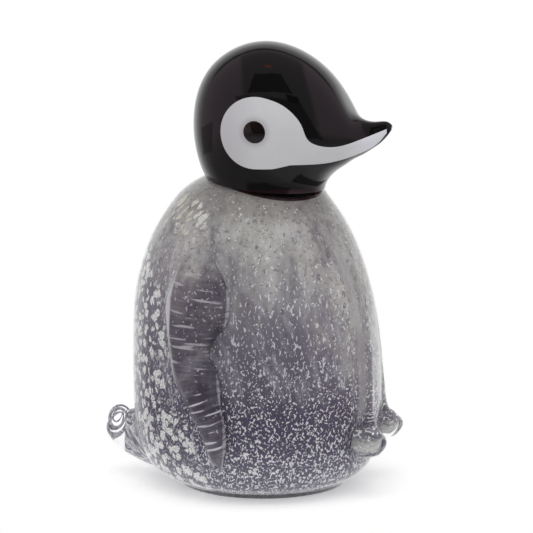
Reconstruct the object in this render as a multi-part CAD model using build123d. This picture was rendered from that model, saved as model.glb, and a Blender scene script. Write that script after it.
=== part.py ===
from build123d import *
import os

# A solid glass penguin chick, hot worked in gathers and applied bits.
# Millimetres, +Z up. The chick looks along -Y, the plane X = 0 mirrors it,
# and the origin is the centre of the flat face it stands on.

# Standing pad
pad_radius = 29.0
pad_thickness = 2.4
pad_top_bevel = 0.8
pad_bottom_bevel = 0.4

# Body: largest reaches from the standing centre, and the clear glass over the core
neck_height = 102.3
back_reach = 44.0
belly_reach = 40.0
body_half_width = 41.5
casing_wall = 4.5
core_floor = 4.0

# Clear space between curved pieces that sit on each other
seat_gap = 0.2

# Neck ring, where head and body meet
neck_back = 19.0
neck_front = 20.9
neck_half_width = 20.6
neck_lean = 3.4

# Head, measured from the middle of the neck ring
beak_reach = 44.0
crown_rise = 47.4
head_half_width = 23.6

# Face patch and eye
patch_depth = 1.3
patch_radius = 12.0
patch_drop = 0.5
patch_parting = 0.3
eye_forward = 2.4
eye_rise = 20.1
eye_radius = 3.9
eye_dome = 0.8
eye_depth = 1.8

# Applied bits are run this far into the body before they are cut off at its skin
bit_root = 12.0

# Wings, down the flanks. The bed is how deep their edges lie under the skin.
wing_top_drop = 12.3
wing_tip_height = 11.0
wing_setback = 15.5
wing_sweep = 9.0
wing_width = 21.8
wing_proud = 3.6
wing_bed = 1.6

# Feet, each with the ridge that runs up the belly from it
foot_ridge_top = 64.0
foot_sole_height = 13.4
foot_spread = 13.5
foot_width = 13.0
foot_proud = 8.6
foot_bed = 1.0

# Tail
tail_root = 10.0
tail_proud = 11.1
tail_tip_height = 15.4
tail_depth = 18.5
tail_width = 17.0

# Rings of the body from the pad to the shoulder. Height is a share of the
# neck's height over the pad, back, belly and width are shares of their
# largest values, and lean is a share of the neck ring's lean.
body_ring_shares = [
    (0.000, 0.700, 0.760, 0.740, 0.0),
    (0.022, 0.810, 0.855, 0.840, 0.0),
    (0.065, 0.905, 0.935, 0.925, 0.0),
    (0.145, 0.975, 0.985, 0.980, 0.0),
    (0.275, 0.998, 1.000, 1.000, 0.0),
    (0.455, 1.000, 0.985, 0.995, 0.0),
    (0.635, 0.978, 0.920, 0.950, 0.0),
    (0.795, 0.875, 0.795, 0.840, 0.2),
    (0.905, 0.725, 0.660, 0.705, 0.6),
    (0.970, 0.580, 0.555, 0.580, 0.9),
]

# Rings of the head that fan round the chin from the neck to the beak tip:
# chin point (forward, up), outer point (forward, up) and width, as shares of
# the beak's reach, the crown's rise and the head's half width.
head_ring_shares = [
    (0.525, 0.055, -0.530, 0.450, 0.940),
    (0.590, 0.110, -0.400, 0.815, 1.000),
    (0.652, 0.150, -0.010, 1.000, 0.900),
    (0.705, 0.185, 0.400, 0.880, 0.660),
    (0.775, 0.220, 0.620, 0.655, 0.430),
    (0.850, 0.265, 0.745, 0.486, 0.265),
    (0.915, 0.310, 0.870, 0.456, 0.155),
    (0.968, 0.365, 0.960, 0.458, 0.095),
    (0.992, 0.398, 0.998, 0.432, 0.040),
]

# Edges of the face patch, forward and up, in shares of the beak's reach and
# the crown's rise: along the brow to the beak's end, and back along the jaw.
patch_brow_shares = [
    (0.146, 0.654), (0.241, 0.622), (0.335, 0.558), (0.407, 0.460), (0.450, 0.365),
    (0.523, 0.324), (0.652, 0.311), (0.752, 0.336), (0.860, 0.373), (0.965, 0.413),
]
patch_jaw_shares = [
    (0.965, 0.384), (0.910, 0.321), (0.807, 0.256), (0.638, 0.202), (0.450, 0.188), (0.300, 0.188),
]

# Wing stations from the top down: place, forward sweep, width and how far
# it stands proud of the flank.
wing_station_shares = [
    (0.00, 0.00, 0.40, 0.12),
    (0.10, 0.01, 0.66, 0.50),
    (0.19, 0.13, 0.93, 0.85),
    (0.31, 0.07, 1.00, 1.00),
    (0.46, -0.15, 0.66, 0.95),
    (0.58, 0.14, 0.73, 0.95),
    (0.71, 0.51, 0.52, 0.85),
    (0.84, 0.87, 0.37, 0.65),
    (0.93, 0.97, 0.22, 0.45),
    (1.00, 1.00, 0.08, 0.20),
]

# Foot stations from the ridge top down to the sole: height, spread, width
# and how far it stands proud of the belly.
foot_station_shares = [
    (1.00, 0.66, 0.20, 0.05),
    (0.72, 0.68, 0.40, 0.10),
    (0.46, 0.80, 0.56, 0.17),
    (0.30, 0.90, 0.72, 0.26),
    (0.19, 0.97, 0.88, 0.46),
    (0.11, 1.00, 1.00, 1.00),
    (0.04, 1.00, 0.92, 0.90),
    (0.00, 1.00, 0.66, 0.62),
]

# Tail rings from the root to the tip: reach, top and bottom from the tip's
# height in shares of the tail's depth, and width.
tail_ring_shares = [
    (0.000, 0.38, 0.74, 1.00),
    (0.330, 0.38, 0.64, 0.98),
    (0.570, 0.36, 0.52, 0.90),
    (0.780, 0.28, 0.37, 0.76),
    (0.925, 0.19, 0.19, 0.50),
    (0.985, 0.09, 0.09, 0.28),
    (1.000, 0.04, 0.04, 0.12),
]


# Skins over ovals. An oval is a plane with a half width along its x and a
# half depth along its y. A ring is an oval across the mirror plane, given by
# its back and front points (y, z) on that plane and its half width.

def ring_oval(ring):
    back, front, half_width = ring
    chord = Vector(0, front[0] - back[0], front[1] - back[1])
    middle = Vector(0, front[0] + back[0], front[1] + back[1]) / 2
    plane = Plane(origin=middle, x_dir=chord, z_dir=chord.cross(Vector(1, 0, 0)))
    return plane, chord.length / 2, half_width


def drawn_in(ring, inset):
    # The ring made smaller by the inset all round, but never by more than half
    back, front, half_width = ring
    chord = Vector(0, front[0] - back[0], front[1] - back[1])
    step = min(inset, half_width / 2)
    shift = chord.normalized() * step
    return ((back[0] + shift.Y, back[1] + shift.Z), (front[0] - shift.Y, front[1] - shift.Z),
            half_width - step)


def half_arc(oval, start):
    # Half a turn of the oval's edge, from this angle in degrees
    plane, half_width, half_depth = oval
    return Edge.make_ellipse(half_width, half_depth, plane, start, start + 180)


def guide(ovals, across, along):
    # A curve through the same point of every oval
    return Edge.make_spline([
        plane.from_local_coords((across * half_width, along * half_depth, 0))
        for plane, half_width, half_depth in ovals
    ])


def half_skin(ovals, side):
    # One smooth face over the halves on the plus y side (1) or the minus y side (-1)
    halves = [half_arc(oval, 0 if side > 0 else 180) for oval in ovals]
    guides = [guide(ovals, side, 0), guide(ovals, 0, side), guide(ovals, -side, 0)]
    return Face.make_gordon_surface(halves, guides)


def skinned_solid(ovals):
    # Both halves of the skin and the flat faces of the first and last oval
    ends = [Face(Wire([half_arc(oval, 0), half_arc(oval, 180)])) for oval in (ovals[0], ovals[-1])]
    return Solid(Shell([half_skin(ovals, 1), half_skin(ovals, -1)] + ends))


def whole(shape):
    # The one solid of a cut, without slivers
    return max(shape.solids(), key=lambda solid: solid.volume)


def on_skin(skin, start, direction):
    # Where a line from the start point leaves the skin, with the outward normal there
    point, normal = skin.find_intersection_points(Axis(start, direction))[-1]
    outward = 1 if normal.dot(Vector(*direction)) > 0 else -1
    return point, normal * outward


def level_out(normals):
    # The level direction that these normals share, in the middle of their row
    middle = normals[len(normals) // 2]
    return Vector(middle.X, middle.Y, 0).normalized()


# Body

neck_ring = (
    (neck_back, neck_height + neck_lean / 2),
    (-neck_front, neck_height - neck_lean / 2),
    neck_half_width,
)


def body_rings():
    rings = []
    for height, back, belly, width, lean in body_ring_shares:
        level = pad_thickness + height * (neck_height - pad_thickness)
        tilt = lean * neck_lean / 2
        rings.append(((back * back_reach, level + tilt), (-belly * belly_reach, level - tilt),
                      width * body_half_width))
    return rings + [neck_ring]


def body_form(inset, floor):
    # The body drawn in by the inset, with everything below the floor cut away
    form = skinned_solid([ring_oval(drawn_in(ring, inset)) for ring in body_rings()])
    if floor > pad_thickness:
        reach = back_reach + belly_reach
        block = Box(reach, reach, floor, align=(Align.CENTER, Align.CENTER, Align.MIN))
        form = whole(form - block)
    return form


def gather(depth):
    # The body drawn in to this depth under the inside of the clear casing
    return body_form(casing_wall + depth, pad_thickness + core_floor + depth)


def base_pad():
    pad = Cylinder(pad_radius, pad_thickness, align=(Align.CENTER, Align.CENTER, Align.MIN))
    pad = chamfer(pad.edges().group_by(Axis.Z)[-1], pad_top_bevel)
    return chamfer(pad.edges().group_by(Axis.Z)[0], pad_bottom_bevel)


# Head

def head_point(forward, up):
    return (-forward * beak_reach, neck_height + up * crown_rise)


def head_rings():
    rings = [neck_ring]
    for chin_forward, chin_up, outer_forward, outer_up, width in head_ring_shares:
        rings.append((head_point(outer_forward, outer_up), head_point(chin_forward, chin_up),
                      width * head_half_width))
    return rings


def way_back(points):
    # The way from the beak's end back along a row of points that ends there
    return Vector(*points[-2]) - Vector(*points[-1])


def patch_outline():
    # A round cheek about the eye, drawn out along the beak, in a plane seen from the left.
    # The plane stands off the middle by the parting, so that the two patches never meet.
    side_view = Plane(origin=(patch_parting, 0, 0), x_dir=(0, 1, 0), z_dir=(1, 0, 0))
    cheek_height = neck_height + eye_rise - patch_drop
    cheek_top = (-eye_forward, cheek_height + patch_radius)
    cheek_rear = (-eye_forward + patch_radius, cheek_height)
    cheek_bottom = (-eye_forward, cheek_height - patch_radius)
    brow_points = [head_point(*place) for place in patch_brow_shares]
    jaw_points = [head_point(*place) for place in patch_jaw_shares]
    beak_end = Line(brow_points[-1], jaw_points[0])
    backward = (1, 0)
    brow = Spline(*reversed(brow_points), cheek_top, tangents=[way_back(brow_points), backward])
    jaw = Spline(*jaw_points, cheek_bottom, tangents=[way_back(jaw_points[::-1]), backward])
    cheek = ThreePointArc(cheek_bottom, cheek_rear, cheek_top)
    return side_view * make_face([brow, beak_end, jaw, cheek])


def face_patch(head_solid, backing, dot):
    # The white inlay: the head's outer layer inside the outline, holed for the eye
    layer = head_solid - backing
    return whole((layer & extrude(patch_outline(), 2 * head_half_width)) - dot)


def eye_dot(skin):
    # A round dot set square to the cheek, with its rim flush and a low dome
    point, normal = on_skin(skin, (0, -eye_forward, neck_height + eye_rise), (1, 0, 0))
    rim_drop = eye_radius ** 2 / (2 * head_half_width)
    dome_height = eye_dome + rim_drop
    dome_radius = (eye_radius ** 2 + dome_height ** 2) / (2 * dome_height)
    stem = Cylinder(eye_radius, eye_depth + eye_dome, align=(Align.CENTER, Align.CENTER, Align.MIN))
    stem = Pos(0, 0, -eye_depth) * stem
    ball = Pos(0, 0, eye_dome - dome_radius) * Sphere(dome_radius)
    return whole(Plane(origin=point, z_dir=normal) * (stem & ball))


# Bits laid on the body

def laid_bit(ovals, outward, seat):
    # The outer halves of the ovals under one skin, run inwards and cut off at the seat
    return whole(extrude(half_skin(ovals, 1), bit_root, -outward) - seat)


def wing(skin, seat):
    # Ovals strung down the flank, square to its run, with their edges bedded in the skin
    top = neck_height - wing_top_drop
    length = top - wing_tip_height
    spots = [
        on_skin(skin, (0, wing_setback - sweep * wing_sweep, top - place * length), (1, 0, 0))
        for place, sweep, width, proud in wing_station_shares
    ]
    points = [point for point, normal in spots]
    outward = level_out([normal for point, normal in spots])
    ovals = []
    for index, (place, sweep, width, proud) in enumerate(wing_station_shares):
        run = points[min(index + 1, len(points) - 1)] - points[max(index - 1, 0)]
        across = Plane(origin=points[index] - outward * wing_bed, x_dir=outward.cross(run), z_dir=run)
        ovals.append((across, width * wing_width / 2, proud * wing_proud + wing_bed))
    return laid_bit(ovals, outward, seat)


def foot(skin, seat):
    # Level ovals from a low ridge on the belly down to the rounded foot
    rise = foot_ridge_top - foot_sole_height
    spots = [
        on_skin(skin, (spread * foot_spread, 0, foot_sole_height + height * rise), (0, -1, 0))
        for height, spread, width, proud in foot_station_shares
    ]
    outward = level_out([normal for point, normal in spots])
    ovals = []
    for (point, normal), (height, spread, width, proud) in zip(spots, foot_station_shares):
        level = Plane(origin=point - outward * foot_bed, x_dir=outward.cross(Vector(0, 0, 1)))
        ovals.append((level, width * foot_width / 2, proud * foot_proud + foot_bed))
    return laid_bit(ovals, outward, seat)


def tail(seat):
    rings = []
    for reach, top, bottom, width in tail_ring_shares:
        back = back_reach - tail_root + reach * (tail_root + tail_proud)
        upper = (back, tail_tip_height + top * tail_depth)
        lower = (back, tail_tip_height - bottom * tail_depth)
        rings.append((upper, lower, width * tail_width / 2))
    return whole(skinned_solid([ring_oval(ring) for ring in rings]) - seat)


def save(name, shape):
    shape.label = name
    export_step(shape, f"parts/{name}.step")


def save_pair(name, left_shape):
    # The chick's left is +X, and its right is the mirror image
    save(name + "_left", left_shape)
    save(name + "_right", left_shape.mirror(Plane.YZ))


os.makedirs("parts", exist_ok=True)

# Gathers of the body
save("body_core", gather(seat_gap))
save("body_casing", whole(body_form(0, 0) - gather(0)))
save("base_pad", base_pad())

# Head with its inlays
head_ovals = [ring_oval(ring) for ring in head_rings()]
head_solid = skinned_solid(head_ovals)
head_backing = skinned_solid([ring_oval(drawn_in(ring, patch_depth)) for ring in head_rings()])
dot = eye_dot(half_skin(head_ovals, 1))
patch = face_patch(head_solid, head_backing, dot)
inlays = [patch, patch.mirror(Plane.YZ), dot, dot.mirror(Plane.YZ)]
save("head", whole(head_solid - inlays))
save_pair("face_patch", patch)
save_pair("eye", dot)

# Applied bits
body_skin = half_skin([ring_oval(ring) for ring in body_rings()], 1)
seat = body_form(-seat_gap, 0)
save_pair("wing", wing(body_skin, seat))
save_pair("foot", foot(body_skin, seat))
save("tail", tail(seat))
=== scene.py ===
import math
import bpy
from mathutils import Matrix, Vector


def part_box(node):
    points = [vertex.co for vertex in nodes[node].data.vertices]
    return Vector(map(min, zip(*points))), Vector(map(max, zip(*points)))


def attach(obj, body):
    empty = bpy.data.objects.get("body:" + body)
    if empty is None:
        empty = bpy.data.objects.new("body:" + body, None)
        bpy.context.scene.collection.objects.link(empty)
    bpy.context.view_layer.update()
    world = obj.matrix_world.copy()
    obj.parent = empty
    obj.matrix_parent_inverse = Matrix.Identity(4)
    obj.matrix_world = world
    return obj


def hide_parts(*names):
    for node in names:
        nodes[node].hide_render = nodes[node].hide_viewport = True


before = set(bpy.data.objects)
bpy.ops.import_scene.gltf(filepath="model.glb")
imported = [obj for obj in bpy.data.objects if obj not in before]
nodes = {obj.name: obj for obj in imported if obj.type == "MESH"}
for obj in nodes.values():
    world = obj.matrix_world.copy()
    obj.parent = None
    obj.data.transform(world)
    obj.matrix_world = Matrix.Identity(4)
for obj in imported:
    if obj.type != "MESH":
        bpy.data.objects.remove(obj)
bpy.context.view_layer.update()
mm = 0.001


# Node helpers

def newMaterial(name):
    mat = bpy.data.materials.new(name)
    mat.use_nodes = True
    mat.node_tree.nodes.clear()
    return mat, mat.node_tree


def addNode(tree, kind, settings=None, inputs=None):
    node = tree.nodes.new(kind)
    for key, value in (settings or {}).items():
        setattr(node, key, value)
    for key, value in (inputs or {}).items():
        if isinstance(value, bpy.types.NodeSocket):
            tree.links.new(value, node.inputs[key])
        else:
            node.inputs[key].default_value = value
    return node


def calc(tree, operation, first, second=0.0):
    return addNode(tree, "ShaderNodeMath", {"operation": operation}, {0: first, 1: second}).outputs[0]


def times(tree, first, *others):
    for other in others:
        first = calc(tree, "MULTIPLY", first, other)
    return first


def plus(tree, first, *others):
    for other in others:
        first = calc(tree, "ADD", first, other)
    return first


def swing(tree, value, reach):
    # Noise about its middle, made as wide as this
    return times(tree, calc(tree, "SUBTRACT", value, 0.5), reach)


def ease(tree, value, low, high, newLow=0.0, newHigh=1.0):
    # A soft step between two values
    return addNode(tree, "ShaderNodeMapRange", {"interpolation_type": "SMOOTHSTEP"},
                   {0: value, 1: low, 2: high, 3: newLow, 4: newHigh}).outputs[0]


def blend(tree, factor, first, second):
    return addNode(tree, "ShaderNodeMix", {"data_type": "RGBA"}, {0: factor, 6: first, 7: second}).outputs[2]


def ramp(tree, value, stops):
    node = addNode(tree, "ShaderNodeValToRGB", inputs={0: value})
    stripes = node.color_ramp.elements
    while len(stripes) < len(stops):
        stripes.new(0.5)
    for stripe, (place, color) in zip(stripes, stops):
        stripe.position = place
        stripe.color = color
    return node.outputs[0]


def vectorMath(tree, operation, inputs, output=0):
    return addNode(tree, "ShaderNodeVectorMath", {"operation": operation}, inputs).outputs[output]


def placeInMm(tree, scale=(1, 1, 1), turn=(0, 0, 0), shift=(0, 0, 0)):
    # Object coordinates in millimetres, turned and then squeezed for one pattern
    coords = addNode(tree, "ShaderNodeTexCoord").outputs["Object"]
    place = vectorMath(tree, "SCALE", {0: coords, 3: 1 / mm})
    if any(turn):
        place = addNode(tree, "ShaderNodeMapping", inputs={0: place, 2: turn}).outputs[0]
    return addNode(tree, "ShaderNodeMapping", inputs={0: place, 1: shift, 3: scale}).outputs[0]


def axesInMm(tree):
    # How far aside, back and up a point lies
    return addNode(tree, "ShaderNodeSeparateXYZ", inputs={0: placeInMm(tree)}).outputs


def noise(tree, place, size, detail=3.0, rough=0.55, twist=0.0):
    return addNode(tree, "ShaderNodeTexNoise", inputs={
        "Vector": place, "Scale": 1 / size, "Detail": detail,
        "Roughness": rough, "Distortion": twist}).outputs


def cells(tree, place, size, settings=None):
    return addNode(tree, "ShaderNodeTexVoronoi", settings, {"Vector": place, "Scale": 1 / size}).outputs


def wobbled(tree, place, size, strength):
    # The place pushed about by noise, so that cells lose their straight edges
    push = vectorMath(tree, "SUBTRACT", {0: noise(tree, place, size)["Color"], 1: (0.5, 0.5, 0.5)})
    push = vectorMath(tree, "SCALE", {0: push, 3: strength})
    return vectorMath(tree, "ADD", {0: place, 1: push})


def squiggles(tree, place, size, level, twist=0.6):
    # Flakes like grains of rice, where fine noise stands above this level
    grain = noise(tree, place, size, 1.0, 0.5, twist)["Fac"]
    return ease(tree, calc(tree, "SUBTRACT", grain, level), 0.0, 0.03)


def cracks(tree, place, size, width):
    # The thin lines between small cells: 1 on a line
    edge = cells(tree, place, size, {"feature": "DISTANCE_TO_EDGE"})[0]
    return ease(tree, edge, width, width / 3)


def islands(tree, place, size, share):
    # Lumpy plates of leaf with gaps between them, cracked across by fine lines: 1 on the leaf
    rough = wobbled(tree, wobbled(tree, place, size * 1.4, size * 1.1), 0.9, 1.1)
    cell = cells(tree, rough, size)
    chances = addNode(tree, "ShaderNodeSeparateColor", inputs={0: cell["Color"]}).outputs
    radius = ease(tree, chances[1], 0.0, 1.0, 0.34, 0.66)
    plate = ease(tree, calc(tree, "SUBTRACT", radius, cell["Distance"]), 0.0, 0.05)
    plate = times(tree, plate, ease(tree, chances[0], share, share - 0.02))
    split = times(tree, cracks(tree, wobbled(tree, place, 0.9, 0.7), size * 0.4, 0.07), 0.7)
    return times(tree, plate, calc(tree, "SUBTRACT", 1.0, split))


def dots(tree, place, size, share, radius):
    # Round dots in some of the cells: 1 in a dot, and 1 in its heart
    cell = cells(tree, place, size)
    chance = addNode(tree, "ShaderNodeSeparateColor", inputs={0: cell["Color"]}).outputs[0]
    kept = ease(tree, chance, share, share - 0.02)
    dot = times(tree, kept, ease(tree, cell["Distance"], radius, radius * 0.75))
    heart = times(tree, kept, ease(tree, cell["Distance"], radius * 0.6, radius * 0.4))
    return dot, heart


def tone(red, green, blue):
    # A colour as it shows on the screen, 0 to 255
    return tuple((part / 255) ** 2.2 for part in (red, green, blue)) + (1,)


def cased(red, green, blue):
    # A colour that shows like this through a clear casing, which sends part of the light back
    return tuple(part / (0.37 + 0.6 * part) for part in tone(red, green, blue)[:3]) + (1,)


def glossy(tree, color, settings):
    values = {"Base Color": color, "Roughness": 0.05, "IOR": 1.5}
    values.update(settings)
    shader = addNode(tree, "ShaderNodeBsdfPrincipled", inputs=values)
    addNode(tree, "ShaderNodeOutputMaterial", inputs={"Surface": shader.outputs[0]})


def innerGlass(tree, color, roughness=0.4):
    # Coloured glass that lies inside the clear casing, so it bends and mirrors hardly any light
    glossy(tree, color, {"Roughness": roughness, "IOR": 1.05})


def bump(tree, height, strength, distance):
    return addNode(tree, "ShaderNodeBump", inputs={
        "Strength": strength, "Distance": distance, "Height": height}).outputs[0]


def dress(obj, mat):
    obj.data.materials.clear()
    obj.data.materials.append(mat)


# Modelling helpers

def deselectAll():
    if bpy.context.object and bpy.context.object.mode != "OBJECT":
        bpy.ops.object.mode_set(mode="OBJECT")
    bpy.ops.object.select_all(action="DESELECT")


def activate(obj):
    deselectAll()
    obj.select_set(True)
    bpy.context.view_layer.objects.active = obj


def joinTo(obj, others):
    activate(obj)
    for other in others:
        other.select_set(True)
    bpy.ops.object.join()


def finishWith(obj, kind, settings):
    activate(obj)
    modifier = obj.modifiers.new(kind.lower(), kind)
    for key, value in settings.items():
        setattr(modifier, key, value)
    bpy.ops.object.modifier_apply(modifier=modifier.name)


def smoothShade(obj):
    activate(obj)
    bpy.ops.object.shade_smooth()


def applyPlace():
    bpy.ops.object.transform_apply(location=True, rotation=True, scale=True)


def cleanMesh(obj):
    activate(obj)
    bpy.ops.object.mode_set(mode="EDIT")
    bpy.ops.mesh.select_all(action="SELECT")
    bpy.ops.mesh.remove_doubles(threshold=0.01 * mm)
    bpy.ops.mesh.normals_make_consistent(inside=False)
    bpy.ops.object.mode_set(mode="OBJECT")


def middleOf(node):
    low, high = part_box(node)
    return (Vector(low) + Vector(high)) / 2


def outwardOf(node):
    # The level direction from the body's axis to a piece on its side
    middle = middleOf(node)
    return Vector((middle.x, middle.y, 0)).normalized()


def copyOfNode(node, name, shift=(0, 0, 0), scale=(1, 1, 1)):
    # A merged copy of a solid, shrunk about its own middle and moved, with its place in its mesh
    piece = bpy.data.objects.new(name, nodes[node].data.copy())
    bpy.context.scene.collection.objects.link(piece)
    cleanMesh(piece)
    bpy.ops.object.mode_set(mode="EDIT")
    bpy.ops.mesh.select_all(action="SELECT")
    bpy.ops.transform.resize(value=scale, center_override=middleOf(node))
    bpy.ops.transform.translate(value=shift)
    bpy.ops.object.mode_set(mode="OBJECT")
    return piece


def keepBelow(piece, level):
    activate(piece)
    bpy.ops.object.mode_set(mode="EDIT")
    bpy.ops.mesh.select_all(action="SELECT")
    bpy.ops.mesh.bisect(plane_co=(0, 0, level), plane_no=(0, 0, 1), use_fill=True, clear_outer=True)
    bpy.ops.object.mode_set(mode="OBJECT")


def claim(piece, slot, *replaced):
    # Every piece rides on the one body
    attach(piece, "root")
    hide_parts(*replaced)


# Body form, in millimetres. Each ring has its place between pad and neck, then shares of the reach
# to the back, the reach to the belly, the half width and the neck's lean.
bodyForm = {
    "neckHeight": 102.3, "padThickness": 2.4, "backReach": 44.0, "bellyReach": 40.0, "halfWidth": 41.5,
    "neckLean": 3.4, "sides": 128, "stepHeight": 2.0,
    "rings": [
        (0.000, 0.700, 0.760, 0.740, 0.0),
        (0.022, 0.810, 0.855, 0.840, 0.0),
        (0.065, 0.905, 0.935, 0.925, 0.0),
        (0.145, 0.975, 0.985, 0.980, 0.0),
        (0.275, 0.998, 1.000, 1.000, 0.0),
        (0.455, 1.000, 0.985, 0.995, 0.0),
        (0.635, 0.978, 0.920, 0.950, 0.0),
        (0.795, 0.875, 0.795, 0.840, 0.2),
        (0.905, 0.725, 0.660, 0.705, 0.6),
        (0.970, 0.580, 0.555, 0.580, 0.9),
        (1.000, 0.432, 0.523, 0.496, 1.0),
    ],
}


def ringAt(place):
    # A row between the rings, on a smooth curve through them
    rows = bodyForm["rings"]
    after = max(1, min(len(rows) - 1, sum(row[0] < place for row in rows)))
    low, high = rows[after - 1], rows[after]
    span = high[0] - low[0]
    share = (place - low[0]) / span
    before, beyond = rows[max(after - 2, 0)], rows[min(after + 1, len(rows) - 1)]
    row = []
    for part in range(1, len(low)):
        slopeLow = (high[part] - before[part]) / (high[0] - before[0]) * span
        slopeHigh = (beyond[part] - low[part]) / (beyond[0] - low[0]) * span
        row.append((2 * share ** 3 - 3 * share ** 2 + 1) * low[part]
                   + (share ** 3 - 2 * share ** 2 + share) * slopeLow
                   + (3 * share ** 2 - 2 * share ** 3) * high[part]
                   + (share ** 3 - share ** 2) * slopeHigh)
    return row


def ringPlace(place, inset):
    # Middle, half width, half depth and lean angle of one ring, in metres
    back, belly, width, lean = ringAt(place)
    size = bodyForm
    level = size["padThickness"] + place * (size["neckHeight"] - size["padThickness"])
    depth = (back * size["backReach"] + belly * size["bellyReach"]) / 2 - inset
    angle = math.atan2(lean * size["neckLean"] / 2, depth + inset)
    middle = Vector((0, (back * size["backReach"] - belly * size["bellyReach"]) / 2, level)) * mm
    return middle, (width * size["halfWidth"] - inset) * mm, depth * mm, angle


def bodyRings(inset, lowest, highest):
    size = bodyForm
    rise = size["neckHeight"] - size["padThickness"]
    start = (lowest - size["padThickness"]) / rise
    count = int((highest - lowest) / size["stepHeight"])
    step = ((highest - lowest) / rise) / count
    return [ringPlace(start + index * step, inset) for index in range(count + 1)]


def pullRing(last, ring):
    # Pulls the next ring out of the selected one
    (oldMiddle, oldWidth, oldDepth, oldAngle), (middle, width, depth, angle) = last, ring
    bpy.ops.mesh.extrude_edges_move(TRANSFORM_OT_translate={"value": middle - oldMiddle})
    bpy.ops.transform.resize(value=(width / oldWidth, depth / oldDepth, 1), center_override=middle)
    if abs(angle - oldAngle) > 1e-5:
        bpy.ops.transform.rotate(value=oldAngle - angle, orient_axis="X", center_override=middle)


def ringStack(name, rings):
    # A closed form pulled up ring by ring from a circle, with a flat face at both ends
    deselectAll()
    middle, width, depth, angle = rings[0]
    bpy.ops.mesh.primitive_circle_add(vertices=bodyForm["sides"], radius=1, location=(0, 0, 0))
    piece = bpy.context.object
    piece.name = piece.data.name = name
    bpy.ops.object.mode_set(mode="EDIT")
    bpy.ops.mesh.select_mode(type="EDGE")
    bpy.ops.mesh.select_all(action="SELECT")
    bpy.ops.transform.resize(value=(width, depth, 1))
    bpy.ops.transform.translate(value=middle)
    bpy.ops.mesh.edge_face_add()
    bpy.ops.mesh.select_all(action="SELECT")
    bpy.ops.mesh.region_to_loop()
    last = rings[0]
    for ring in rings[1:]:
        pullRing(last, ring)
        last = ring
    bpy.ops.mesh.edge_face_add()
    bpy.ops.mesh.select_all(action="SELECT")
    bpy.ops.mesh.normals_make_consistent(inside=False)
    bpy.ops.object.mode_set(mode="OBJECT")
    return piece


print("clear casing")
casing = {
    "padRadius": 29.0, "padRings": [(0, 0.5), (0.5, 0), (1.6, 0), (2.0, -0.5)],  # height, drawn in by
    "underHead": (1.0, 0.5),  # rise, drawn in by
    "bits": ["wing_left", "wing_right", "foot_left", "foot_right", "tail"], "root": 1.2,
    "voxel": 0.68, "smoothing": 14, "softening": 118,
    "softFront": 14.0, "frontFade": 6.0, "softAbove": 24.0, "aboveFade": 5.0, "softTop": 66.0, "topFade": 8.0,
}


def padRing(level, cut):
    radius = casing["padRadius"] * mm - cut * mm
    return Vector((0, 0, level * mm)), radius, radius, 0.0


def drawnIn(ring, rise, amount):
    middle, width, depth, angle = ring
    return middle + Vector((0, 0, rise * mm)), width - amount * mm, depth - amount * mm, angle


def softness(place):
    # How much the ridges above the feet and the tops of the wings melt into the body at this place
    front = min((-casing["softFront"] - place.y) / casing["frontFade"], 1.0)
    above = min((place.z - casing["softAbove"]) / casing["aboveFade"], 1.0)
    top = min((place.z - casing["softTop"]) / casing["topFade"], 1.0)
    return max(front * above, top) if above > 0 else 0.0


def makeCasing():
    rings = [padRing(level, cut) for level, cut in casing["padRings"]]
    rings += bodyRings(0, bodyForm["padThickness"], bodyForm["neckHeight"])
    rings.append(drawnIn(rings[-1], *casing["underHead"]))
    body = ringStack("clearCasing", rings)
    bits = []
    for node in casing["bits"]:
        bits.append(copyOfNode(node, node + "Skin"))
        bits.append(copyOfNode(node, node + "Root", shift=outwardOf(node) * -casing["root"] * mm))
    joinTo(body, bits)
    finishWith(body, "REMESH", {"mode": "VOXEL", "voxel_size": casing["voxel"] * mm})
    finishWith(body, "SMOOTH", {"factor": 0.5, "iterations": casing["smoothing"]})
    soft = body.vertex_groups.new(name="soft")
    for corner in body.data.vertices:
        strength = softness(corner.co / mm)
        if strength > 0:
            soft.add([corner.index], strength, "REPLACE")
    finishWith(body, "SMOOTH", {"factor": 0.5, "iterations": casing["softening"], "vertex_group": "soft"})
    smoothShade(body)
    return body


def clearGlass():
    mat, tree = newMaterial("clearGlass")
    ripple = noise(tree, placeInMm(tree, (1, 1, 0.6)), 9.0, 2.0)["Fac"]
    glossy(tree, (0.985, 0.985, 0.99, 1), {
        "Roughness": 0.0, "IOR": 1.5, "Transmission Weight": 1.0,
        "Normal": bump(tree, ripple, 0.15, 0.0004)})
    return mat


clearCasing = makeCasing()
dress(clearCasing, clearGlass())
claim(clearCasing, "clear_glass", "body_casing", "base_pad", "foot_left", "foot_right")
print("  triangles", sum(len(face.vertices) - 2 for face in clearCasing.data.polygons))


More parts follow.
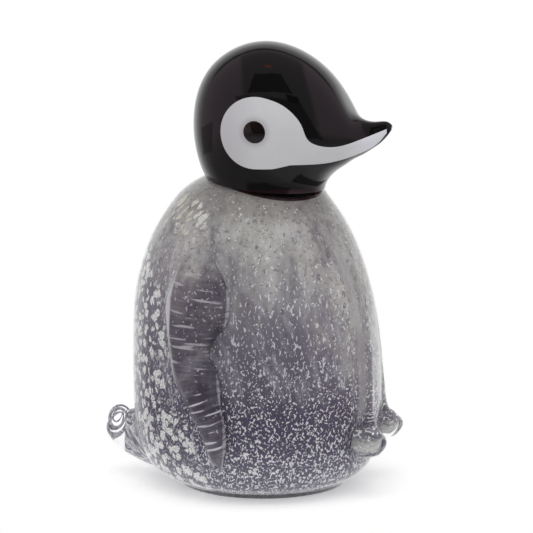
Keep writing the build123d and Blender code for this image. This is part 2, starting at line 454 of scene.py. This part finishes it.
print("smoky core with silver flakes")
core = {
    # Places and sizes in millimetres, slants in radians. Two numbers are the ends of an ease,
    # four numbers are its ends and the values there.
    "inset": 4.7, "floor": 3.4, "neckGap": 0.4,
    "veilLean": 0.12, "veilFront": (-20.0, -36.0, 0.0, 32.0), "veilRagged": 62.0, "veilLevels": (56.0, 92.0),
    "headShadeLevels": (88.0, 97.0, 0.0, 0.6), "pepperSize": 1.3, "wispSlant": 0.42, "wispLevels": (24.0, 50.0),
    "bubbleSize": 3.6, "bubbleShare": 0.4, "bubbleRadius": 0.27,  # the radius as a share of the size
    "bubblesLow": (44.0, 60.0), "bubblesHigh": (90.0, 80.0, 0.3, 0.8),
    "speckSize": 0.85, "speckShare": (62.0, 90.0, 0.63, 0.7),
    "specksLow": (34.0, 44.0, 0.0, 0.85), "specksHigh": (94.0, 80.0, 0.3, 1.0),
    "fineSize": 0.74, "fineShare": (70.0, 22.0, 0.69, 0.572),
    "boldSize": 1.15, "boldShare": (34.0, 8.0, 0.72, 0.61),
    "ridgeAside": 9.5, "ridgeWide": (3.6, 1.0),
    "ridgeFront": (-20.0, -28.0), "ridgeLevels": (20.0, 30.0, 0.0, 0.8),
    "leafSize": 2.4, "leafLow": (44.0, 8.0, 0.0, 14.0), "leafHigh": (62.0, 84.0, 0.0, -10.0),
    "leafRagged": 20.0, "leafFrom": (23.0, 28.0), "bandFrom": (33.0, 38.0, 0.0, 0.45),
    "tornSize": 1.9, "tornSlant": -0.9, "tornScale": (0, 0.13, 0.17), "tornShift": (0, -2.6, -15.7),
    "collarLift": (-20.0, 18.0, 0.0, 5.4), "collarFrom": (96.9, 97.2), "collarEdge": (97.3, 98.0),
}
blackColor = (0.004, 0.0035, 0.004, 1)


def veilGlass(tree, height):
    # The pale smoky veil: clouded, mottled and peppered with dark specks, with painted shade of the head
    # close under the neck
    cloud = noise(tree, placeInMm(tree, (1, 1, 0.6)), 15.0, 3.0)["Fac"]
    mottle = noise(tree, placeInMm(tree, (1, 1, 0.8)), 3.2, 4.0, 0.65)["Fac"]
    streak = noise(tree, placeInMm(tree, (1, 1, 0.2)), 3.0, 4.0, 0.6, 0.4)["Fac"]
    value = plus(tree, cloud, swing(tree, mottle, 0.75), swing(tree, streak, 0.6))
    color = ramp(tree, value, [
        (0.24, cased(98, 95, 98)), (0.5, cased(148, 145, 141)), (0.74, cased(186, 183, 178))])
    color = blend(tree, ease(tree, streak, 0.48, 0.68, 0.0, 0.35), color, cased(146, 148, 160))
    pepper = squiggles(tree, placeInMm(tree), core["pepperSize"], 0.62)
    color = blend(tree, times(tree, pepper, 0.8), color, cased(102, 98, 97))
    # Painted shade under the head: darker close under the neck
    return blend(tree, ease(tree, height, *core["headShadeLevels"]), color, cased(104, 100, 97))


def darkSmoke(tree, height):
    # The dark glass below the veil, with slanting wisps in it
    color = ramp(tree, calc(tree, "DIVIDE", height, 100.0), [
        (0.05, cased(68, 65, 80)), (0.30, cased(62, 58, 72)),
        (0.60, cased(92, 88, 96)), (0.9, cased(108, 105, 108))])
    slant = noise(tree, placeInMm(tree, (1, 1, 0.2), (core["wispSlant"], 0, 0)), 3.6, 4.0, 0.6, 0.4)["Fac"]
    wisps = times(tree, ease(tree, slant, 0.46, 0.66, 0.0, 0.7), ease(tree, height, *core["wispLevels"]))
    return blend(tree, wisps, color, cased(124, 122, 136))


def withBubbles(tree, color, height):
    # Dark bubbles with a pale heart, in the veil
    place = placeInMm(tree, (1, 1, 0.75))
    dot, heart = dots(tree, place, core["bubbleSize"], core["bubbleShare"], core["bubbleRadius"])
    dot = times(tree, dot, ease(tree, height, *core["bubblesLow"]), ease(tree, height, *core["bubblesHigh"]))
    color = blend(tree, dot, color, cased(80, 76, 79))
    return blend(tree, times(tree, heart, dot, 0.5), color, cased(166, 163, 163))


def withFlakes(tree, color, height, cloud):
    # Upright specks above, and flakes that crowd together towards the foot
    level = ease(tree, height, *core["speckShare"])
    specks = squiggles(tree, placeInMm(tree, (1, 1, 0.38)), core["speckSize"], level, 0.2)
    specks = times(tree, specks, ease(tree, height, *core["specksLow"]),
                   ease(tree, height, *core["specksHigh"]))
    level = ease(tree, height, *core["fineShare"])
    fine = squiggles(tree, placeInMm(tree, (1, 1, 0.85)), core["fineSize"], level)
    level = ease(tree, height, *core["boldShare"])
    bold = squiggles(tree, placeInMm(tree, (1, 1, 0.9)), core["boldSize"], level)
    flakes = calc(tree, "MAXIMUM", calc(tree, "MAXIMUM", fine, bold), specks)
    silver = ramp(tree, cloud, [(0.3, cased(196, 195, 202)), (0.7, cased(232, 231, 234))])
    return blend(tree, flakes, color, silver)


def withRidgeHighlights(tree, color, axes, wisp):
    # A painted highlight: a pale streak behind the ridge of each foot, where the ridge would catch the light
    aside = calc(tree, "SUBTRACT", calc(tree, "ABSOLUTE", axes[0]), core["ridgeAside"])
    streak = ease(tree, calc(tree, "ABSOLUTE", aside), *core["ridgeWide"])
    streak = times(tree, streak, ease(tree, axes[1], *core["ridgeFront"]),
                   ease(tree, axes[2], *core["ridgeLevels"]))
    pale = ramp(tree, wisp, [(0.4, cased(126, 124, 128)), (0.65, cased(172, 171, 168))])
    return blend(tree, streak, color, pale)


def withLeaf(tree, color, back, height):
    # Large crackled flakes along the back, which reach further round low down, and a paler band behind them
    edge = plus(tree, back, ease(tree, height, *core["leafLow"]), ease(tree, height, *core["leafHigh"]))
    ragged = swing(tree, noise(tree, placeInMm(tree), 7.0)["Fac"], core["leafRagged"])
    zone = ease(tree, plus(tree, edge, ragged), *core["leafFrom"])
    color = blend(tree, times(tree, zone, 0.45), color, cased(72, 68, 80))
    leaf = islands(tree, placeInMm(tree, (1, 1, 0.9)), core["leafSize"], 0.97)
    color = blend(tree, times(tree, leaf, zone), color, cased(252, 252, 248))
    return blend(tree, ease(tree, back, *core["bandFrom"]), color, cased(150, 148, 150))


def withTornFlakes(tree, color, wisp, cloud):
    # A few torn flakes on the shoulder, some with a greenish tint
    spot = placeInMm(tree, core["tornScale"], shift=core["tornShift"])
    away = vectorMath(tree, "LENGTH", {0: spot}, "Value")
    shoulder = ease(tree, plus(tree, away, swing(tree, wisp, 1.2)), 1.0, 0.75)
    torn = islands(tree, placeInMm(tree, (1, 1, 0.5), (core["tornSlant"], 0, 0)), core["tornSize"], 0.7)
    tint = blend(tree, ease(tree, cloud, 0.45, 0.55), cased(226, 226, 214), cased(196, 193, 164))
    return blend(tree, times(tree, torn, shoulder), color, tint)


def withCollar(tree, color, back, height):
    # The black glass of the neck runs on under the casing, lower in front, with a dark red edge
    level = calc(tree, "SUBTRACT", height, ease(tree, back, *core["collarLift"]))
    black = blend(tree, ease(tree, level, *core["collarEdge"]), (0.03, 0.006, 0.008, 1), blackColor)
    return blend(tree, ease(tree, level, *core["collarFrom"]), color, black)


def coreGlass():
    mat, tree = newMaterial("coreGlass")
    axes = axesInMm(tree)
    back, height = axes[1], axes[2]
    wisp = noise(tree, placeInMm(tree, (1, 1, 0.3)), 6.0, 5.0, 0.6, 0.6)["Fac"]
    cloud = noise(tree, placeInMm(tree, (1, 1, 0.6)), 15.0, 3.0)["Fac"]
    # The veil reaches further down in front than behind
    reach = calc(tree, "SUBTRACT", height, times(tree, back, core["veilLean"]))
    reach = plus(tree, reach, ease(tree, back, *core["veilFront"]), swing(tree, wisp, core["veilRagged"]))
    veil = ease(tree, reach, *core["veilLevels"])
    color = blend(tree, veil, darkSmoke(tree, height), veilGlass(tree, height))
    color = withBubbles(tree, color, height)
    color = withFlakes(tree, color, height, cloud)
    color = withRidgeHighlights(tree, color, axes, wisp)
    color = withLeaf(tree, color, back, height)
    color = withTornFlakes(tree, color, wisp, cloud)
    color = withCollar(tree, color, back, height)
    innerGlass(tree, color, 0.5)
    return mat


coreTop = bodyForm["neckHeight"] - core["neckGap"]
bodyCore = ringStack("bodyCore", bodyRings(core["inset"], core["floor"], coreTop))
smoothShade(bodyCore)
dress(bodyCore, coreGlass())
claim(bodyCore, "core_glass", "body_core")


print("smoky wings")
wings = {
    "inward": 2.6, "lower": 3.0, "scale": (0.92, 0.94, 0.9),
    "strokeSlant": 20.0, "strokeLevels": (36.0, 46.0), "brownLevels": (46.0, 66.0),
    "brightLevels": (50.0, 34.0, 0.5, 0.9), "fleckSize": 1.0, "fleckShare": (30.0, 70.0, 0.7, 0.65),
    "topRagged": 22.0, "topLevels": (71.0, 82.0),
    "backHighlight": (1.6, 1.0), "frontHighlight": (1.6, 0.8), "stops": 14, "bandHeight": 4.0, "widestReach": 40.0,
}


def sideEdge(tree, piece, height, farthest):
    # Where the piece ends at each height, towards the back (max) or the front (min), in millimetres
    points = [corner.co / mm for corner in piece.data.vertices]
    low, high = min(point.z for point in points), max(point.z for point in points)
    span = 2 * wings["widestReach"]
    stops = []
    for index in range(wings["stops"]):
        level = low + (high - low) * index / (wings["stops"] - 1)
        reach = farthest(point.y for point in points if abs(point.z - level) < wings["bandHeight"])
        share = reach / span + 0.5
        stops.append((level / 100, (share, share, share, 1)))
    edge = ramp(tree, calc(tree, "DIVIDE", height, 100.0), stops)
    return times(tree, calc(tree, "SUBTRACT", edge, 0.5), span)


def withEdgeHighlights(tree, color, piece, axes, patchy):
    # Painted highlights: a thin pale line along the back edge of the wing, and a broken one along its front
    # edge
    away = calc(tree, "SUBTRACT", sideEdge(tree, piece, axes[2], max), axes[1])
    line = ease(tree, away, *wings["backHighlight"])
    color = blend(tree, times(tree, line, 0.9), color, cased(204, 202, 210))
    away = calc(tree, "SUBTRACT", axes[1], sideEdge(tree, piece, axes[2], min))
    line = ease(tree, away, *wings["frontHighlight"])
    line = times(tree, line, ease(tree, patchy, 0.85, 1.05, 0.25, 0.8))
    return blend(tree, line, color, cased(176, 174, 186))


def wingSmoke(piece):
    mat, tree = newMaterial("wingSmoke")
    axes = axesInMm(tree)
    height = axes[2]
    cloud = noise(tree, placeInMm(tree, (1, 1, 0.6)), 8.0, 4.0, 0.6, 0.5)["Fac"]
    # Fine streaks and short pale strokes across the wing, slanting lower down
    turn = (math.radians(wings["strokeSlant"]), 0, 0)
    slant = noise(tree, placeInMm(tree, (0.13, 0.13, 1.0), turn), 1.2, 1.0)["Fac"]
    level = noise(tree, placeInMm(tree, (0.13, 0.13, 1.0)), 1.3, 1.0)["Fac"]
    upper = ease(tree, height, *wings["strokeLevels"])
    strokes = addNode(tree, "ShaderNodeMix", inputs={0: upper, 2: slant, 3: level}).outputs[0]
    value = plus(tree, cloud, swing(tree, strokes, 0.6))
    color = ramp(tree, value, [(0.3, cased(52, 48, 57)), (0.5, cased(70, 66, 74)), (0.7, cased(98, 94, 100))])
    brown = times(tree, ease(tree, height, *wings["brownLevels"]), ease(tree, cloud, 0.4, 0.6, 0.2, 0.6))
    color = blend(tree, brown, color, cased(76, 71, 76))
    bright = times(tree, ease(tree, strokes, 0.62, 0.67), ease(tree, height, *wings["brightLevels"]))
    color = blend(tree, bright, color, cased(196, 194, 204))
    flecks = squiggles(tree, placeInMm(tree), wings["fleckSize"], ease(tree, height, *wings["fleckShare"]))
    color = blend(tree, times(tree, flecks, 0.6), color, cased(186, 184, 190))
    color = withEdgeHighlights(tree, color, piece, axes, plus(tree, cloud, strokes))
    # The top of the wing fades into the veil
    top = ease(tree, plus(tree, height, swing(tree, cloud, wings["topRagged"])), *wings["topLevels"])
    color = blend(tree, top, color, veilGlass(tree, height))
    innerGlass(tree, color)
    return mat


smokeLayers = []
for side in ("left", "right"):
    node = "wing_" + side
    shift = outwardOf(node) * -wings["inward"] - Vector((0, 0, wings["lower"]))
    layer = copyOfNode(node, "wingSmoke_" + side, shift * mm, wings["scale"])
    smoothShade(layer)
    claim(layer, "smoky_glass", node)
    smokeLayers.append(layer)
smokeMat = wingSmoke(smokeLayers[0])
for layer in smokeLayers:
    dress(layer, smokeMat)


print("marbled feet")
feet = {"inward": 1.4, "scale": (0.86, 0.86, 0.9), "cutHeight": 23.0, "swirlSize": 4.0,
        "topFrom": (18.0, 21.5), "soleFrom": (14.5, 12.5), "flakeSize": 1.1, "flakeShare": 0.66}


def footMarble():
    mat, tree = newMaterial("footMarble")
    swirl = noise(tree, placeInMm(tree, (0.6, 0.6, 1.5)), feet["swirlSize"], 3.0, 0.55, 2.0)["Fac"]
    color = ramp(tree, swirl, [
        (0.34, cased(84, 81, 92)), (0.45, cased(132, 131, 132)), (0.54, cased(168, 170, 162)),
        (0.61, cased(112, 111, 116)), (0.68, cased(206, 206, 204))])
    # Darker and full of flakes at the top and at the sole
    height = axesInMm(tree)[2]
    ends = calc(tree, "MAXIMUM", ease(tree, height, *feet["topFrom"]), ease(tree, height, *feet["soleFrom"]))
    color = blend(tree, times(tree, ends, 0.8), color, cased(78, 75, 88))
    level = calc(tree, "SUBTRACT", feet["flakeShare"], times(tree, ends, 0.1))
    flakes = squiggles(tree, placeInMm(tree), feet["flakeSize"], level)
    innerGlass(tree, blend(tree, flakes, color, cased(226, 226, 226)))
    return mat


footMat = footMarble()
for side in ("left", "right"):
    node = "foot_" + side
    heart = copyOfNode(node, "footHeart_" + side, outwardOf(node) * -feet["inward"] * mm, feet["scale"])
    keepBelow(heart, feet["cutHeight"] * mm)
    smoothShade(heart)
    dress(heart, footMat)
    claim(heart, "clear_glass", node)


print("tail curl and root")
tail = {
    "middle": (0, 50.4, 17.8), "curlFlat": 0.8,
    "strands": [  # ring radius, strand radius, aside, tilt in degrees
        (5.0, 0.35, 0.8, 6), (4.4, 0.5, -1.0, -8), (3.6, 0.25, 1.2, 9),
        (2.8, 0.35, -0.6, -5), (1.9, 0.2, 0.6, 12)],
    "rootStart": 36.5, "rootEnd": 47.2, "rootLevel": 14.4, "rootWide": 9.5, "rootThin": 5.0, "rootFlat": 0.75,
    "rootVoxel": 0.5, "rootSmoothing": 8, "streakSlant": -45.0,
}


def curlGlass():
    mat, tree = newMaterial("curlGlass")
    swirl = noise(tree, placeInMm(tree), 2.0, 3.0, 0.6, 2.0)["Fac"]
    innerGlass(tree, ramp(tree, swirl, [
        (0.35, cased(96, 93, 106)), (0.55, cased(150, 148, 156)), (0.68, cased(212, 211, 216))]))
    return mat


def rootGlass():
    # Dark and pale streaks that run out along the tail from its join
    mat, tree = newMaterial("rootGlass")
    turn = (math.radians(tail["streakSlant"]), 0, 0)
    streak = noise(tree, placeInMm(tree, (1, 0.25, 1), turn), 1.0, 3.0, 0.6, 0.8)["Fac"]
    innerGlass(tree, ramp(tree, streak, [
        (0.38, cased(86, 83, 96)), (0.5, cased(132, 130, 138)), (0.6, cased(224, 223, 226))]))
    return mat


def makeCurl():
    # Strands wound about the middle of the tail, one round each other
    rings = []
    for major, minor, aside, tilt in tail["strands"]:
        deselectAll()
        bpy.ops.mesh.primitive_torus_add(
            major_segments=64, minor_segments=12, major_radius=major * mm, minor_radius=minor * mm,
            rotation=(0, math.pi / 2, math.radians(tilt)), location=(0, 0, 0))
        ring = bpy.context.object
        applyPlace()
        ring.scale = (1, tail["curlFlat"], 1)
        ring.location = (Vector(tail["middle"]) + Vector((aside, 0, 0))) * mm
        applyPlace()
        rings.append(ring)
    curl = rings[0]
    joinTo(curl, rings[1:])
    curl.name = curl.data.name = "tailCurl"
    return curl


def makeRoot():
    # A soft cone of streaked glass, from the core out to the curl
    deselectAll()
    length = tail["rootEnd"] - tail["rootStart"]
    middle = Vector((0, tail["rootStart"] + length / 2, tail["rootLevel"]))
    bpy.ops.mesh.primitive_cone_add(
        vertices=48, radius1=tail["rootWide"] * mm, radius2=tail["rootThin"] * mm, depth=length * mm,
        location=middle * mm, rotation=(-math.pi / 2, 0, 0), scale=(tail["rootFlat"], 1, 1))
    root = bpy.context.object
    applyPlace()
    root.name = root.data.name = "tailRoot"
    finishWith(root, "REMESH", {"mode": "VOXEL", "voxel_size": tail["rootVoxel"] * mm})
    finishWith(root, "SMOOTH", {"factor": 0.5, "iterations": tail["rootSmoothing"]})
    return root


for piece, mat in ((makeCurl(), curlGlass()), (makeRoot(), rootGlass())):
    smoothShade(piece)
    dress(piece, mat)
    claim(piece, "clear_glass", "tail")


print("head, face and eyes")
face = {
    "rimLevels": (103.0, 102.4), "beakHighlightFrom": (-26.0, -40.0), "napeShadeFrom": (-5.0, 8.0), "eyeShadeReach": (6.2, 3.4),
    "cheekFrom": (-6.5, -14.5), "cheekHeights": (109.9, 111.22), "cheekSoft": 0.04,
}


def blackGlass():
    # Black, with a breath of dark red at the neck
    mat, tree = newMaterial("blackGlass")
    rim = plus(tree, axesInMm(tree)[2], swing(tree, noise(tree, placeInMm(tree), 7.0)["Fac"], 2.0))
    color = blend(tree, ease(tree, rim, *face["rimLevels"]), blackColor, (0.014, 0.0045, 0.006, 1))
    ripple = noise(tree, placeInMm(tree), 14.0, 2.0)["Fac"]
    glossy(tree, color, {"Roughness": 0.02, "Normal": bump(tree, ripple, 0.1, 0.0004)})
    return mat


def whiteGlass():
    mat, tree = newMaterial("whiteGlass")
    cloud = noise(tree, placeInMm(tree), 8.0, 3.0)["Fac"]
    color = ramp(tree, cloud, [(0.3, tone(204, 203, 207)), (0.7, tone(208, 207, 210))])
    # Painted highlight, brighter out along the beak, and painted shade, duller towards the nape
    axes = axesInMm(tree)
    color = blend(tree, ease(tree, axes[1], *face["beakHighlightFrom"]), color, tone(226, 227, 234))
    color = blend(tree, ease(tree, axes[1], *face["napeShadeFrom"]), color, tone(190, 188, 192))
    # Painted shade: a soft grey ring round the edge of the eye
    eye = middleOf("eye_left") / mm
    away = vectorMath(tree, "LENGTH", {0: placeInMm(tree, (0, 1, 1), shift=(0, -eye.y, -eye.z))}, "Value")
    color = blend(tree, ease(tree, away, *face["eyeShadeReach"], 0.0, 0.35), color, tone(120, 116, 118))
    # The lower edge rises evenly to the cheek: below this line the patch is black
    cheek = calc(tree, "SUBTRACT", axes[2], ease(tree, axes[1], *face["cheekFrom"], *face["cheekHeights"]))
    color = blend(tree, ease(tree, cheek, face["cheekSoft"], -face["cheekSoft"]), color, blackColor)
    glossy(tree, color, {"Roughness": 0.06})
    return mat


def eyeGlass():
    mat, tree = newMaterial("eyeGlass")
    cloud = noise(tree, placeInMm(tree), 2.0, 3.0)["Fac"]
    color = ramp(tree, cloud, [(0.3, tone(14, 10, 10)), (0.7, tone(30, 22, 20))])
    glossy(tree, color, {"Roughness": 0.03})
    return mat


dress(nodes["head"], blackGlass())
whiteMat, eyeMat = whiteGlass(), eyeGlass()
for side in ("left", "right"):
    dress(nodes["face_patch_" + side], whiteMat)
    dress(nodes["eye_" + side], eyeMat)


print("studio")
view = {"azimuth": -77, "elevation": 10.5, "distance": 1.1, "aim": (0, 0, 0.075), "widthSeen": 0.17946,
        "shiftX": 0.00657, "shiftY": -0.00844, "sensor": 36, "farthest": 20}
studio = {"floorRadius": 0.6, "fadeFrom": 0.025, "fadeTo": 0.085, "floorSeen": 0.28, "floorThrough": 0.62,
          "lampSize": 0.8, "lampPlace": (-0.2, 0, 1.0), "lampPower": 3.0, "diffuseLevel": 0.75}
cloths = {  # left, right, low, high and softness, as they lie on a round mirror
    "front": (-0.36, 0.315, -0.24, 0.2, 0.04), "hatch": (-1.0, 0.37, 0.3, 0.52, 0.015),
    "ledge": (0.36, 0.78, -0.56, -0.44, 0.04), "edging": (-0.87, -0.74, -0.2, -0.06, 0.02),
    "gap": (0.12, 0.24, 0.21, 0.28, 0.02), "redMark": (-0.08, 0.0, 0.605, 0.63, 0.01),
}

turn, rise = math.radians(view["azimuth"]), math.radians(view["elevation"])
toCamera = Vector((math.sin(turn) * math.cos(rise), -math.cos(turn) * math.cos(rise), math.sin(rise)))
toRight = Vector((math.cos(turn), math.sin(turn), 0))
toTop = toCamera.cross(toRight)


def makeCamera():
    cam = bpy.data.cameras.new("photoCamera")
    camObj = bpy.data.objects.new("photoCamera", cam)
    bpy.context.scene.collection.objects.link(camObj)
    camObj.location = Vector(view["aim"]) + toCamera * view["distance"]
    camObj.rotation_euler = toCamera.to_track_quat("Z", "Y").to_euler()
    cam.sensor_width = view["sensor"]
    cam.lens = view["sensor"] * view["distance"] / view["widthSeen"]
    cam.shift_x, cam.shift_y = view["shiftX"], view["shiftY"]
    cam.clip_end = view["farthest"]
    bpy.context.scene.camera = camObj


def makeFloor():
    # A pale floor that fades into the white round it, and keeps the shadow near the object
    deselectAll()
    bpy.ops.mesh.primitive_circle_add(
        vertices=96, radius=studio["floorRadius"], fill_type="NGON", location=(0, 0, 0))
    floor = bpy.context.object
    floor.name = "floor"
    mat, tree = newMaterial("paleFloor")
    place = addNode(tree, "ShaderNodeTexCoord").outputs["Object"]
    fade = ease(tree, vectorMath(tree, "LENGTH", {0: place}, "Value"), studio["fadeFrom"], studio["fadeTo"])
    path = addNode(tree, "ShaderNodeLightPath").outputs
    through = calc(tree, "MAXIMUM", path["Is Glossy Ray"], path["Is Transmission Ray"])
    shown = calc(tree, "MAXIMUM", times(tree, path["Is Camera Ray"], studio["floorSeen"]),
                 times(tree, through, studio["floorThrough"]))
    pale = addNode(tree, "ShaderNodeBsdfDiffuse", inputs={"Color": (0.95, 0.95, 0.95, 1)})
    white = addNode(tree, "ShaderNodeEmission", inputs={"Color": (1, 1, 1, 1), "Strength": shown})
    pale = addNode(tree, "ShaderNodeAddShader", inputs={0: pale.outputs[0], 1: white.outputs[0]})
    clear = addNode(tree, "ShaderNodeBsdfTransparent")
    mixed = addNode(tree, "ShaderNodeMixShader", inputs={0: fade, 1: pale.outputs[0], 2: clear.outputs[0]})
    addNode(tree, "ShaderNodeOutputMaterial", inputs={"Surface": mixed.outputs[0]})
    dress(floor, mat)


def along(tree, direction, axis):
    return vectorMath(tree, "DOT_PRODUCT", {0: direction, 1: axis}, "Value")


def panel(tree, across, up, cloth):
    # One hung cloth of the light tent: 1 inside, 0 outside
    left, right, low, high, soft = cloths[cloth]
    inside = times(tree, ease(tree, across, left - soft, left), ease(tree, across, right + soft, right))
    level = times(tree, ease(tree, up, low - soft, low), ease(tree, up, high + soft, high))
    return times(tree, inside, level)


def darkPanels(tree, facing, across, up):
    # A seam over the crown, the dark front, the darker hatch above it that narrows upwards,
    # a ledge in front of the neck, an edging behind it and a small gap over the face
    seam = ease(tree, calc(tree, "ABSOLUTE", plus(tree, facing, 0.47)), 0.07, 0.02)
    front = panel(tree, plus(tree, across, times(tree, up, 0.35)), up, "front")
    middle = calc(tree, "ABSOLUTE", plus(tree, across, 0.05))
    tilted = calc(tree, "SUBTRACT", up, times(tree, across, 0.1))
    hatch = panel(tree, plus(tree, middle, times(tree, up, 0.41)), tilted, "hatch")
    return [
        times(tree, seam, ease(tree, up, 0.4, 0.6), 0.7), times(tree, front, 0.75), times(tree, hatch, 0.85),
        times(tree, panel(tree, across, up, "ledge"), 0.8),
        times(tree, panel(tree, across, up, "edging"), 0.45), panel(tree, across, up, "gap")]


def lightTent(tree):
    # What the black glass mirrors: a white tent, dim towards the photographer
    direction = addNode(tree, "ShaderNodeTexCoord").outputs["Generated"]
    facing = along(tree, direction, toCamera)
    half = calc(tree, "SQRT", calc(tree, "MAXIMUM", plus(tree, times(tree, facing, 2.0), 2.0), 0.001))
    across = calc(tree, "DIVIDE", along(tree, direction, toRight), half)
    up = calc(tree, "DIVIDE", along(tree, direction, toTop), half)
    tent = ramp(tree, times(tree, plus(tree, facing, 1.0), 0.5), [
        (0.0, (1.1, 1.1, 1.1, 1)), (0.1, (1.0, 1.0, 1.0, 1)), (0.16, (0.72, 0.72, 0.72, 1)),
        (0.25, (0.46, 0.44, 0.45, 1)), (0.36, (0.26, 0.24, 0.25, 1)), (1.0, (0.24, 0.23, 0.24, 1))])
    # Purplish cloths at both sides of the front, and a plain one below
    front = ease(tree, facing, -0.5, -0.35)
    sides = calc(tree, "MAXIMUM", ease(tree, across, -0.33, -0.4), ease(tree, across, 0.36, 0.42))
    sides = times(tree, sides, front, ease(tree, up, -0.3, -0.1))
    tent = blend(tree, sides, tent, (0.50, 0.40, 0.45, 1))
    tent = blend(tree, times(tree, ease(tree, up, -0.3, -0.45), front), tent, (0.42, 0.42, 0.43, 1))
    for patch in darkPanels(tree, facing, across, up):
        tent = blend(tree, patch, tent, (0.01, 0.01, 0.01, 1))
    return blend(tree, panel(tree, across, up, "redMark"), tent, (0.9, 0.25, 0.18, 1))


def makeWorld():
    # White to the eye and through glass, a softer level for the light, and the tent in reflections
    world = bpy.data.worlds.new("studio")
    bpy.context.scene.world = world
    world.use_nodes = True
    tree = world.node_tree
    tree.nodes.clear()
    path = addNode(tree, "ShaderNodeLightPath").outputs
    plain = (studio["diffuseLevel"],) * 3 + (1,)
    color = blend(tree, path["Is Glossy Ray"], plain, lightTent(tree))
    seen = calc(tree, "MAXIMUM", path["Is Camera Ray"], path["Is Transmission Ray"])
    color = blend(tree, seen, color, (1, 1, 1, 1))
    shade = addNode(tree, "ShaderNodeBackground", inputs={"Color": color, "Strength": 1.0})
    addNode(tree, "ShaderNodeOutputWorld", inputs={"Surface": shade.outputs[0]})


def makeLamp():
    lamp = bpy.data.lights.new("overhead", "AREA")
    lamp.size = studio["lampSize"]
    lamp.energy = studio["lampPower"]
    lampObj = bpy.data.objects.new("overhead", lamp)
    lampObj.location = studio["lampPlace"]
    bpy.context.scene.collection.objects.link(lampObj)
    lampObj.visible_glossy = False


makeCamera()
makeFloor()
makeWorld()
makeLamp()
bpy.context.scene.view_settings.view_transform = "Standard"
